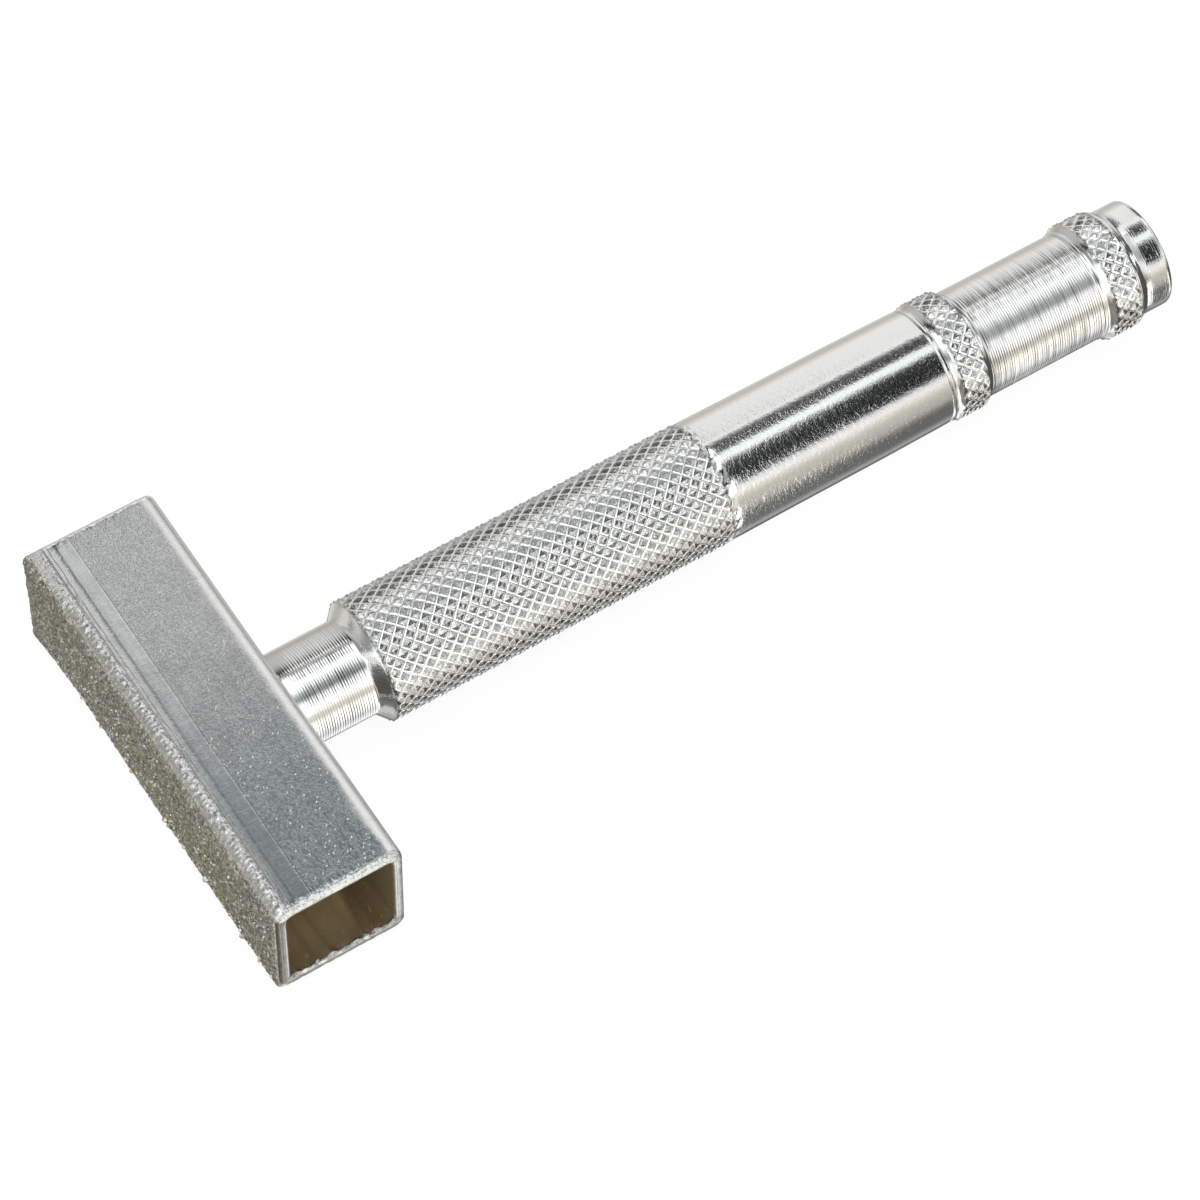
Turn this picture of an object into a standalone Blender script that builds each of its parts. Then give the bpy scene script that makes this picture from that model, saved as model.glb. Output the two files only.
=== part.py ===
"""Diamond wheel dresser: a square tube with a band of diamond grit, riveted to a turned and knurled handle.

Metres, +Z up. The origin is the middle of the tube's flat underside, and the handle runs along +X.
"""
import math
import random

import bmesh
import bpy
from mathutils import Vector

MM = 0.001

# Tube: its length lies along Y, its depth along the handle
TUBE_LENGTH = 45.0 * MM
TUBE_DEPTH = 13.2 * MM
TUBE_HEIGHT = 13.2 * MM
TUBE_WALL = 1.1 * MM
TUBE_OUTER_CORNER = 1.1 * MM
TUBE_INNER_CORNER = 0.5 * MM
TUBE_CORNER_STEPS = 5
RIM_EASE = 0.25 * MM
RIM_INNER_EASE = 0.12 * MM
RIM_STEPS = 2

# Mask line: a fine scribed groove along both flats, behind the grit
MASK_LINE_FROM_FRONT = 4.03 * MM
MASK_LINE_WIDTH = 0.16 * MM
MASK_LINE_DEPTH = 0.05 * MM

# Diamond grit: a nickel skin over the tube's front that wraps round both front corners
GRIT_THICKNESS = 0.45 * MM
GRIT_CORNER_THICKNESS = 0.20 * MM
GRIT_EDGE_THICKNESS = 0.12 * MM
GRIT_WRAP = 1.5 * MM
GRAIN_SPACING = 1.0 * MM
GRAIN_LIFT = 0.12 * MM
LARGE_GRAIN_LIFT = 0.38 * MM
LARGE_GRAIN_SHARE = 0.05
GRAIN_SEED = 7

# Rivet: the handle's spigot, closed over on the inside of the tube's rear wall
SPIGOT_RADIUS = 2.6 * MM
SPIGOT_CLEARANCE = 0.1 * MM
RIVET_RADIUS = 3.5 * MM
RIVET_THICKNESS = 1.3 * MM
RIVET_STEPS = 6

# Handle, turned from one bar: lengths run along X from the tube's rear face
GRIP_FLOOR_GAP = 0.02 * MM
NECK_RADIUS = 4.85 * MM
NECK_LENGTH = 7.9 * MM
SHOULDER_LENGTH = 1.25 * MM
GRIP_RADIUS = 6.25 * MM
GRIP_LENGTH = 36.8 * MM
GRIP_EDGE_DROP = 0.14 * MM
SHANK_RADIUS = 6.1 * MM
SHANK_END_RADIUS = 5.95 * MM
SHANK_LENGTH = 25.3 * MM
SHANK_STEPS = 2

# Knurl: two crossing sets of grooves at 45 degrees, one wheel tooth apart
KNURL_PITCH = 1.0 * MM
KNURL_DEPTH = 0.28 * MM
KNURL_RUN_OUT = 0.3 * MM

# Beads: two narrow knurled rings with a waist between them
LINE_WIDTH = 0.16 * MM
LINE_DEPTH = 0.08 * MM
LINE_COUNT = 2
LAND_WIDTH = 0.42 * MM
BEAD_RADIUS = 6.22 * MM
BEAD_EDGE_DROP = 0.12 * MM
BEAD_KNURL_WIDTH = 2.83 * MM
BEAD_FALL_LENGTH = 0.8 * MM
WAIST_RADIUS = 5.59 * MM
WAIST_LENGTH = 13.0 * MM
COLLAR_RISE = 0.08 * MM
COLLAR_WIDTH = 0.45 * MM
BEAD_RISE_LENGTH = 0.65 * MM
RIM_RING_WIDTH = 0.3 * MM
RIM_RING_DROP = 0.14 * MM
RIM_RING_FALL = 0.6 * MM
END_RADIUS = 5.55 * MM
END_LENGTH = 3.0 * MM
END_EDGE_RADIUS = 0.25 * MM
END_EDGE_STEPS = 3

# Where the pieces meet
REAR_FACE_X = TUBE_DEPTH / 2
FRONT_FACE_X = -TUBE_DEPTH / 2
INNER_WALL_X = REAR_FACE_X - TUBE_WALL
HANDLE_AXIS_Z = GRIP_RADIUS + GRIP_FLOOR_GAP
CELLS_ROUND = round(2 * math.pi * GRIP_RADIUS / (KNURL_PITCH * math.sqrt(2)))
SEGMENTS = 2 * CELLS_ROUND
WELD = 0.001 * MM
TUBE_CREASE = 35
GRIT_CREASE = 20
HANDLE_CREASE = 24


def clear_scene():
    for thing in list(bpy.data.objects):
        bpy.data.objects.remove(thing, do_unlink=True)


def metal(name, colour, roughness, metallic=1.0):
    """A Principled BSDF material of one colour."""
    material = bpy.data.materials.new(name)
    material.use_nodes = True
    shader = material.node_tree.nodes["Principled BSDF"]
    shader.inputs["Base Color"].default_value = (*colour, 1.0)
    shader.inputs["Roughness"].default_value = roughness
    shader.inputs["Metallic"].default_value = metallic
    return material


def add_object(name, bm, material, smooth_angle):
    """Turn a bmesh into a named object, shaded smooth below the given angle."""
    bmesh.ops.recalc_face_normals(bm, faces=bm.faces)
    mesh = bpy.data.meshes.new(name)
    bm.to_mesh(mesh)
    bm.free()
    mesh.shade_smooth()
    mesh.set_sharp_from_angle(angle=math.radians(smooth_angle))
    mesh.materials.append(material)
    thing = bpy.data.objects.new(name, mesh)
    bpy.context.scene.collection.objects.link(thing)
    return thing


def cut_away(thing, name, bm, material):
    """Cut a bmesh's shape out of an object with a live Boolean."""
    cutter = add_object(name, bm, material, TUBE_CREASE)
    cutter.hide_render = True
    cutter.display_type = "WIRE"
    cut = thing.modifiers.new(name, "BOOLEAN")
    cut.operation = "DIFFERENCE"
    cut.solver = "EXACT"
    cut.object = cutter


def corner_arc(centre_x, centre_z, radius, start, steps):
    """Points of a quarter circle in XZ from a start angle, each with its outward normal."""
    arc = []
    for step in range(steps + 1):
        angle = math.radians(start + 90 * step / steps)
        normal = Vector((math.cos(angle), 0, math.sin(angle)))
        arc.append((Vector((centre_x, 0, centre_z)) + radius * normal, normal))
    return arc


def tube_outline(inset, radius):
    """A rounded rectangle in XZ, inset from the tube's outside: four corner arcs, the top rear one first."""
    reach_x = TUBE_DEPTH / 2 - inset - radius
    reach_z = TUBE_HEIGHT / 2 - inset - radius
    arcs = []
    for quarter, (side, level) in enumerate(((1, 1), (-1, 1), (-1, -1), (1, -1))):
        centre_z = TUBE_HEIGHT / 2 + level * reach_z
        arcs.append(corner_arc(side * reach_x, centre_z, radius, 90 * quarter, TUBE_CORNER_STEPS))
    return arcs


def loop_of_edges(bm, points):
    verts = [bm.verts.new(point) for point in points]
    return [bm.edges.new((verts[i], verts[(i + 1) % len(verts)])) for i in range(len(verts))]


def make_head_tube():
    """Square tube with eased rims, and a round hole in its rear wall for the spigot."""
    bm = bmesh.new()
    near_y = Vector((0, -TUBE_LENGTH / 2, 0))
    outlines = []
    for inset, radius in ((0, TUBE_OUTER_CORNER), (TUBE_WALL, TUBE_INNER_CORNER)):
        points = [point + near_y for arc in tube_outline(inset, radius) for point, _ in arc]
        outlines += loop_of_edges(bm, points)
    rim = bmesh.ops.bridge_loops(bm, edges=outlines)["faces"]
    grown = bmesh.ops.extrude_face_region(bm, geom=rim, use_keep_orig=True)["geom"]
    far_verts = [item for item in grown if isinstance(item, bmesh.types.BMVert)]
    bmesh.ops.translate(bm, verts=far_verts, vec=(0, TUBE_LENGTH, 0))
    bmesh.ops.recalc_face_normals(bm, faces=bm.faces)

    def at_end(edge):
        return all(abs(abs(vert.co.y) - TUBE_LENGTH / 2) < WELD for vert in edge.verts)

    def inside(edge):
        middle = (edge.verts[0].co + edge.verts[1].co) / 2
        return (abs(middle.x) < TUBE_DEPTH / 2 - TUBE_WALL + WELD
                and abs(middle.z - TUBE_HEIGHT / 2) < TUBE_HEIGHT / 2 - TUBE_WALL + WELD)

    def is_rim(edge):
        caps = sum(abs(face.normal.y) > 0.5 for face in edge.link_faces)
        return at_end(edge) and caps == 1

    rim_edges = [edge for edge in bm.edges if is_rim(edge)]
    inner_edges = [edge for edge in rim_edges if inside(edge)]
    outer_edges = [edge for edge in rim_edges if not inside(edge)]
    for edges, ease in ((outer_edges, RIM_EASE), (inner_edges, RIM_INNER_EASE)):
        bmesh.ops.bevel(bm, geom=edges, offset=ease, segments=RIM_STEPS, profile=0.5, affect="EDGES")
    steel = metal("plated_tube_steel", (0.60, 0.62, 0.63), 0.38)
    tube = add_object("head_tube", bm, steel, TUBE_CREASE)

    hole_bm = bmesh.new()
    hole_radius = SPIGOT_RADIUS + SPIGOT_CLEARANCE
    near_x = INNER_WALL_X - TUBE_WALL
    far_x = REAR_FACE_X + TUBE_WALL
    spin_profile(hole_bm, [(near_x, 0.0), (near_x, hole_radius), (far_x, hole_radius), (far_x, 0.0)])
    bmesh.ops.translate(hole_bm, verts=hole_bm.verts, vec=(0, 0, HANDLE_AXIS_Z))
    cut_away(tube, "spigot_hole", hole_bm, steel)

    line_bm = bmesh.new()
    line_x = FRONT_FACE_X + MASK_LINE_FROM_FRONT
    for surface_z, outward in ((0, -1), (TUBE_HEIGHT, 1)):
        bottom = Vector((line_x, -TUBE_LENGTH, surface_z - outward * MASK_LINE_DEPTH))
        half = Vector((MASK_LINE_WIDTH, 0, 0))
        rise = Vector((0, 0, outward * 2 * MASK_LINE_DEPTH))
        end = loop_of_edges(line_bm, (bottom, bottom + half + rise, bottom - half + rise))
        grown = bmesh.ops.extrude_edge_only(line_bm, edges=end)["geom"]
        far_end = [item for item in grown if isinstance(item, bmesh.types.BMEdge)]
        far_verts = [item for item in grown if isinstance(item, bmesh.types.BMVert)]
        bmesh.ops.translate(line_bm, verts=far_verts, vec=(0, 2 * TUBE_LENGTH, 0))
        for edges in (end, far_end):
            bmesh.ops.contextual_create(line_bm, geom=edges)
    cut_away(tube, "mask_lines", line_bm, steel)
    return tube


def grit_path():
    """Inner points of the grit skin, with normals and thicknesses, from the top round to the bottom."""
    _, top_front, bottom_front, _ = tube_outline(0, TUBE_OUTER_CORNER)
    wrap_x = FRONT_FACE_X + GRIT_WRAP
    flat = top_front[-1][0].z - bottom_front[0][0].z
    rows = max(1, round(flat / GRAIN_SPACING))
    path = [(Vector((wrap_x, 0, TUBE_HEIGHT)), Vector((0, 0, 1)), GRIT_EDGE_THICKNESS)]
    for step, (point, normal) in enumerate(top_front):
        share = step / (len(top_front) - 1)
        thickness = GRIT_CORNER_THICKNESS + share * (GRIT_THICKNESS - GRIT_CORNER_THICKNESS)
        path.append((point, normal, thickness))
    for row in range(1, rows):
        point = top_front[-1][0].lerp(bottom_front[0][0], row / rows)
        path.append((point, Vector((-1, 0, 0)), GRIT_THICKNESS))
    mirrored = []
    for point, normal, thickness in path[:len(path) - (rows - 1)]:
        flipped = Vector((point.x, 0, TUBE_HEIGHT - point.z))
        mirrored.append((flipped, Vector((normal.x, 0, -normal.z)), thickness))
    return path + mirrored[::-1]


def make_diamond_coating():
    """Grit skin: its inner side is the tube's own surface, its outer side is lumpy with grains."""
    grains = random.Random(GRAIN_SEED)
    path = grit_path()
    length = TUBE_LENGTH - 2 * RIM_EASE
    steps = round(length / GRAIN_SPACING)
    bm = bmesh.new()
    outer = [point + thickness * normal for point, normal, thickness in path]
    inner = [point for point, _, _ in path]
    start = Vector((0, -length / 2, 0))
    edges = loop_of_edges(bm, [point + start for point in outer + inner[::-1]])
    ends = [edges]
    rings = [list({vert for edge in edges for vert in edge.verts})]
    for _ in range(steps):
        grown = bmesh.ops.extrude_edge_only(bm, edges=edges)["geom"]
        edges = [item for item in grown if isinstance(item, bmesh.types.BMEdge)]
        rings.append([item for item in grown if isinstance(item, bmesh.types.BMVert)])
        bmesh.ops.translate(bm, verts=rings[-1], vec=(0, length / steps, 0))
    ends.append(edges)
    for end in ends:
        bmesh.ops.contextual_create(bm, geom=end)

    def on_tube(vert):
        return any((Vector((vert.co.x, 0, vert.co.z)) - point).length < WELD for point in inner)

    flat_edges = [edge for edge in bm.edges
                  if all(on_tube(vert) for vert in edge.verts)
                  and abs(edge.verts[0].co.y - edge.verts[1].co.y) < WELD
                  and abs(abs(edge.verts[0].co.y) - length / 2) > WELD]
    for index, point in enumerate(outer):
        _, normal, thickness = path[index]
        if index in (0, len(outer) - 1):
            continue
        for ring in rings:
            vert = min(ring, key=lambda item: (Vector((item.co.x, 0, item.co.z)) - point).length)
            lift = grains.uniform(-GRAIN_LIFT, GRAIN_LIFT)
            if grains.random() < LARGE_GRAIN_SHARE and normal.x < -abs(normal.z):
                lift = LARGE_GRAIN_LIFT
            vert.co += normal * lift * thickness / GRIT_THICKNESS
    bmesh.ops.dissolve_edges(bm, edges=flat_edges, use_verts=True)
    grit = metal("diamond_grit", (0.33, 0.32, 0.27), 0.55, 0.7)
    return add_object("diamond_coating", bm, grit, GRIT_CREASE)


def spin_profile(bm, profile):
    """Turn a list of (x, radius) points round the X axis into a closed body."""
    verts = [bm.verts.new((x, 0, radius)) for x, radius in profile]
    edges = [bm.edges.new(pair) for pair in zip(verts, verts[1:])]
    bmesh.ops.spin(bm, geom=verts + edges, cent=(0, 0, 0), axis=(1, 0, 0), angle=2 * math.pi,
                   steps=SEGMENTS, use_merge=True)
    bmesh.ops.remove_doubles(bm, verts=bm.verts, dist=WELD)


class HandleProfile:
    """The bar's outline, drawn from the tube towards the handle's end, and where its knurls lie."""

    def __init__(self, x):
        self.x = x
        self.points = []
        self.knurls = []

    def to(self, length, radius):
        """Go on by a length to a radius."""
        self.x += length
        self.points.append((self.x, radius))

    def knurl(self, length, radius, start_radius, end_radius, run_out=0.0):
        """Add evenly spaced rings for a knurled stretch, half a cell apart."""
        rows = 2 * max(1, round(length / (KNURL_PITCH * math.sqrt(2))))
        spacing = length / rows
        start = self.x
        self.points.append((start, start_radius))
        self.points += [(start + row * spacing, radius) for row in range(1, rows)]
        self.points.append((start + length, end_radius))
        self.knurls.append((start, spacing, rows, radius, run_out))
        self.x = start + length


def handle_profile():
    """Every turned step of the handle, in order along the bar."""
    bar = HandleProfile(INNER_WALL_X - RIVET_THICKNESS)
    for step in range(RIVET_STEPS):
        angle = math.radians(90 * step / RIVET_STEPS)
        rise = RIVET_THICKNESS * (1 - math.cos(angle))
        bar.points.append((bar.x + rise, RIVET_RADIUS * math.sin(angle)))
    bar.to(RIVET_THICKNESS, RIVET_RADIUS)
    bar.to(0, SPIGOT_RADIUS)
    bar.to(TUBE_WALL, SPIGOT_RADIUS)
    bar.to(0, NECK_RADIUS)
    bar.to(NECK_LENGTH, NECK_RADIUS)
    bar.x += SHOULDER_LENGTH
    bar.knurl(GRIP_LENGTH, GRIP_RADIUS, GRIP_RADIUS - GRIP_EDGE_DROP, SHANK_RADIUS, KNURL_RUN_OUT)
    taper = SHANK_END_RADIUS - SHANK_RADIUS
    for step in range(1, SHANK_STEPS + 1):
        bar.to(SHANK_LENGTH / SHANK_STEPS, SHANK_RADIUS + taper * step / SHANK_STEPS)

    for _ in range(LINE_COUNT):
        bar.to(LINE_WIDTH / 2, SHANK_END_RADIUS - LINE_DEPTH)
        bar.to(LINE_WIDTH / 2, SHANK_END_RADIUS)
        bar.to(LAND_WIDTH, SHANK_END_RADIUS)
    bead_edge = BEAD_RADIUS - BEAD_EDGE_DROP
    bar.knurl(BEAD_KNURL_WIDTH, BEAD_RADIUS, bead_edge, bead_edge)
    bar.to(BEAD_FALL_LENGTH, WAIST_RADIUS)
    bar.to(WAIST_LENGTH, WAIST_RADIUS)
    bar.to(LINE_WIDTH / 2, WAIST_RADIUS + COLLAR_RISE)
    bar.to(COLLAR_WIDTH, WAIST_RADIUS + COLLAR_RISE)
    bar.x += BEAD_RISE_LENGTH
    bar.knurl(BEAD_KNURL_WIDTH, BEAD_RADIUS, bead_edge, bead_edge)
    ring_radius = BEAD_RADIUS - RIM_RING_DROP
    bar.to(LINE_WIDTH / 2, ring_radius - LINE_DEPTH)
    bar.to(LINE_WIDTH / 2, ring_radius)
    bar.to(RIM_RING_WIDTH, ring_radius)
    bar.to(RIM_RING_FALL, END_RADIUS)
    bar.to(END_LENGTH - END_EDGE_RADIUS, END_RADIUS)
    centre = bar.x
    for step in range(1, END_EDGE_STEPS + 1):
        angle = math.radians(90 * step / END_EDGE_STEPS)
        bar.points.append((centre + END_EDGE_RADIUS * math.sin(angle),
                           END_RADIUS - END_EDGE_RADIUS * (1 - math.cos(angle))))
    bar.points.append((centre + END_EDGE_RADIUS, 0.0))
    return bar


def press_knurl(bm, start, spacing, rows, radius, run_out):
    """Sink the groove crossings between the raised cells, and fold each facet along its groove."""
    grooves = {}
    for vert in bm.verts:
        row = round((vert.co.x - start) / spacing)
        if not 0 <= row <= rows or abs(vert.co.x - start - row * spacing) > WELD:
            continue
        turn = math.atan2(vert.co.y, vert.co.z) / (2 * math.pi) * SEGMENTS
        if (row + round(turn)) % 2 == 0:
            grooves[vert] = row
    crossings = set(grooves)
    last = start + rows * spacing + WELD
    facets = [face for face in bm.faces if len(face.verts) == 4
              and all(start - WELD < vert.co.x < last for vert in face.verts)
              and max(vert.co.x for vert in face.verts) - min(vert.co.x for vert in face.verts) > WELD]
    for facet in facets:
        bmesh.utils.face_split(facet, *[vert for vert in facet.verts if vert in crossings])
    for vert, row in grooves.items():
        if 0 < row < rows:
            shrink = (radius - KNURL_DEPTH) / radius
            vert.co.y *= shrink
            vert.co.z *= shrink
        elif row == rows:
            vert.co.x += run_out


def make_handle():
    """The whole bar: rivet, spigot, neck, knurled grip, polished shank, beads, waist and end."""
    bar = handle_profile()
    bm = bmesh.new()
    spin_profile(bm, bar.points)
    for knurl in bar.knurls:
        press_knurl(bm, *knurl)
    steel = metal("bright_plated_steel", (0.74, 0.75, 0.74), 0.16)
    handle = add_object("handle", bm, steel, HANDLE_CREASE)
    handle.location.z = HANDLE_AXIS_Z
    return handle


clear_scene()
make_head_tube()
make_diamond_coating()
make_handle()
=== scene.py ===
"""Looks for the diamond wheel dresser: plated tube, diamond grit, bright turned and knurled handle."""
import math
import random
from functools import reduce

import bmesh
import bpy
from mathutils import Matrix, Vector, noise


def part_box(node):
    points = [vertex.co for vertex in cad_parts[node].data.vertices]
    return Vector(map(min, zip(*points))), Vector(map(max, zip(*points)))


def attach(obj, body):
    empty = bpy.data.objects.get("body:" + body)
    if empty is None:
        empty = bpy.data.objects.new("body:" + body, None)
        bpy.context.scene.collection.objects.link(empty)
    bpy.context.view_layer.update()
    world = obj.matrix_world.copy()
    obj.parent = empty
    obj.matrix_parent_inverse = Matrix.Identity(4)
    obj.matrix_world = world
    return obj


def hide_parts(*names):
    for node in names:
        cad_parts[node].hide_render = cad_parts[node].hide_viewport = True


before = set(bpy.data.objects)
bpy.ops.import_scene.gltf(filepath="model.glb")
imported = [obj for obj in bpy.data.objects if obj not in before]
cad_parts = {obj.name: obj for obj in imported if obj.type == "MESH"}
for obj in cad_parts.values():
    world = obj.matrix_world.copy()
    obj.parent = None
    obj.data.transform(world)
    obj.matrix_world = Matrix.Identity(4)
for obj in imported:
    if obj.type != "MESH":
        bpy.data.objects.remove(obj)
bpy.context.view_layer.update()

MM = 0.001
BODY = "root"

# The frame's own sizes, which the finished pieces keep to
TUBE_LOW, TUBE_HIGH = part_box("head_tube")
GRIT_LOW, GRIT_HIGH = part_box("diamond_coating")
HANDLE_LOW, HANDLE_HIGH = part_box("handle")
TUBE_MIDDLE_Z = (TUBE_LOW.z + TUBE_HIGH.z) / 2
REAR_FACE_X = TUBE_HIGH.x
FRONT_FACE_X = TUBE_LOW.x
AXIS_Z = (HANDLE_LOW.z + HANDLE_HIGH.z) / 2
HANDLE_END_X = HANDLE_HIGH.x
FLOOR_Z = min(GRIT_LOW.z, TUBE_LOW.z, HANDLE_LOW.z)

# Tube: sizes in millimetres
TUBE_HALF_LENGTH = (TUBE_HIGH.y - TUBE_LOW.y) / 2 / MM
TUBE_HALF_WIDTH = (TUBE_HIGH.x - TUBE_LOW.x) / 2 / MM
TUBE_HALF_HEIGHT = (TUBE_HIGH.z - TUBE_LOW.z) / 2 / MM
TUBE_WALL = 1.1
OUTER_CORNER = 1.15
INNER_CORNER = 0.85
FLAT_REACH_X = TUBE_HALF_WIDTH - OUTER_CORNER
FLAT_REACH_Z = TUBE_HALF_HEIGHT - OUTER_CORNER

# Marks along the tube's flats, as places in millimetres along the handle from the tube's middle
SMEAR_EDGE = (-4.75, -4.92)
TROUGH = (-4.32, -4.02)
SMOOTH_STRIP = (-4.75, -2.60)
# The plating mask's edge, drawn as a painted highlight line with a painted shadow line just behind it
MASK_LINE = (-2.66, -2.59)
SHADOW_LINE = (-2.53, -2.46)
REAR_EASE_START = 4.95

# Handle: places in millimetres along it from the tube's rear face
NECK_END = 7.85
GRIP_START = 9.15
GRIP_END = 45.92
FIRST_BEAD = (72.42, 75.25)
SECOND_BEAD = (90.2, 93.03)
WAIST = (75.9, 89.7)
TURNED_END = (94.4, 97.0)
TOOL_PITCH = 0.265
NECK_RADIUS = 4.85
WAIST_RADIUS = 5.59
END_RADIUS = 5.55
KNURL_ROOT_RADIUS = 6.005


class Socket:
    """A shader socket that takes part in Python arithmetic by adding Math nodes."""

    def __init__(self, graph, link):
        self.graph = graph
        self.link = link

    def math(self, operation, *values):
        return self.graph.node("ShaderNodeMath", {"operation": operation}, {
            index: value for index, value in enumerate((self, *values))}).out(0)

    def __add__(self, other):
        return self.math("ADD", other)

    def __radd__(self, other):
        return self.math("ADD", other)

    def __sub__(self, other):
        return self.math("SUBTRACT", other)

    def __rsub__(self, other):
        return self.math("MULTIPLY", -1.0) + other

    def __mul__(self, other):
        return self.math("MULTIPLY", other)

    def __rmul__(self, other):
        return self.math("MULTIPLY", other)

    def __truediv__(self, other):
        return self.math("DIVIDE", other)

    def __abs__(self):
        return self.math("ABSOLUTE")

    def __pow__(self, other):
        return self.math("POWER", other)

    def above(self, low, high):
        """0 below low, 1 above high, and smooth in between; the other way round if high is the smaller."""
        return self.graph.node("ShaderNodeMapRange", {"interpolation_type": "SMOOTHSTEP"}, {
            "Value": self, "From Min": low, "From Max": high, "To Min": 0.0, "To Max": 1.0}).out(0)

    def between(self, low, high, soft):
        """1 between two values and 0 outside them, with soft edges."""
        return self.above(low - soft, low + soft) * self.above(high + soft, high - soft)

    def sine(self):
        return self.math("SINE")

    def largest(self, other):
        return self.math("MAXIMUM", other)


class Node:
    def __init__(self, graph, node):
        self.graph = graph
        self.node = node

    def out(self, name):
        return Socket(self.graph, self.node.outputs[name])


class Graph:
    """A node tree whose nodes all come from one method."""

    def __init__(self, tree):
        self.tree = tree
        self.tree.nodes.clear()

    def node(self, kind, settings=None, inputs=None):
        made = self.tree.nodes.new(kind)
        for name, value in (settings or {}).items():
            if name == "stops":
                self.set_stops(made.color_ramp.elements, value)
            else:
                setattr(made, name, value)
        for name, value in (inputs or {}).items():
            if isinstance(value, Socket):
                self.tree.links.new(value.link, made.inputs[name])
            else:
                made.inputs[name].default_value = value
        return Node(self, made)

    @staticmethod
    def set_stops(elements, stops):
        while len(elements) > 1:
            elements.remove(elements[-1])
        for index, (place, colour) in enumerate(stops):
            element = elements[0] if index == 0 else elements.new(place)
            element.position = place
            element.color = colour if len(colour) == 4 else (*colour, 1.0)

    def place(self):
        """The point being shaded, in the object's own millimetres, as three sockets."""
        coordinates = self.node("ShaderNodeTexCoord").out("Object")
        parts = self.node("ShaderNodeSeparateXYZ", None, {0: coordinates})
        return [parts.out(axis) / MM for axis in range(3)]

    def stretched(self, scale):
        """Object coordinates scaled along each axis, for a pattern."""
        coordinates = self.node("ShaderNodeTexCoord").out("Object")
        return self.node("ShaderNodeMapping", None, {"Vector": coordinates, "Scale": scale}).out(0)

    def cloud(self, size, detail=3.0, rough=0.5, stretch=(1, 1, 1), seed=0.0):
        """Soft noise from 0 to 1, with blobs of about one size in millimetres."""
        vector = self.stretched(tuple(part / MM for part in stretch))
        return self.node("ShaderNodeTexNoise", {"noise_dimensions": "4D"}, {
            "Vector": vector, "W": seed, "Scale": 1.0 / size, "Detail": detail, "Roughness": rough}).out(0)

    def cells(self, size, feature="F1", stretch=(1, 1, 1), output="Distance"):
        vector = self.stretched(tuple(part / MM for part in stretch))
        return self.node("ShaderNodeTexVoronoi", {"feature": feature}, {
            "Vector": vector, "Scale": 1.0 / size}).out(output)

    def blend(self, factor, first, second):
        """Mix two colours."""
        return self.node("ShaderNodeMix", {"data_type": "RGBA", "clamp_factor": True}, {
            0: factor, 6: first if isinstance(first, Socket) else (*first, 1.0),
            7: second if isinstance(second, Socket) else (*second, 1.0)}).out(2)

    def bump(self, height, depth, under=None):
        """A bump of a height socket, whose values of 0 to 1 stand for a depth in millimetres."""
        inputs = {"Height": height, "Distance": depth * MM, "Strength": 1.0}
        if under is not None:
            inputs["Normal"] = under
        return self.node("ShaderNodeBump", None, inputs).out(0)

    def surface(self, **inputs):
        named = {name.replace("_", " "): value for name, value in inputs.items()}
        shader = self.node("ShaderNodeBsdfPrincipled", None, named).out(0)
        self.node("ShaderNodeOutputMaterial", None, {"Surface": shader})


def new_material(name):
    material = bpy.data.materials.new(name)
    material.use_nodes = True
    return material, Graph(material.node_tree)


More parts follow.
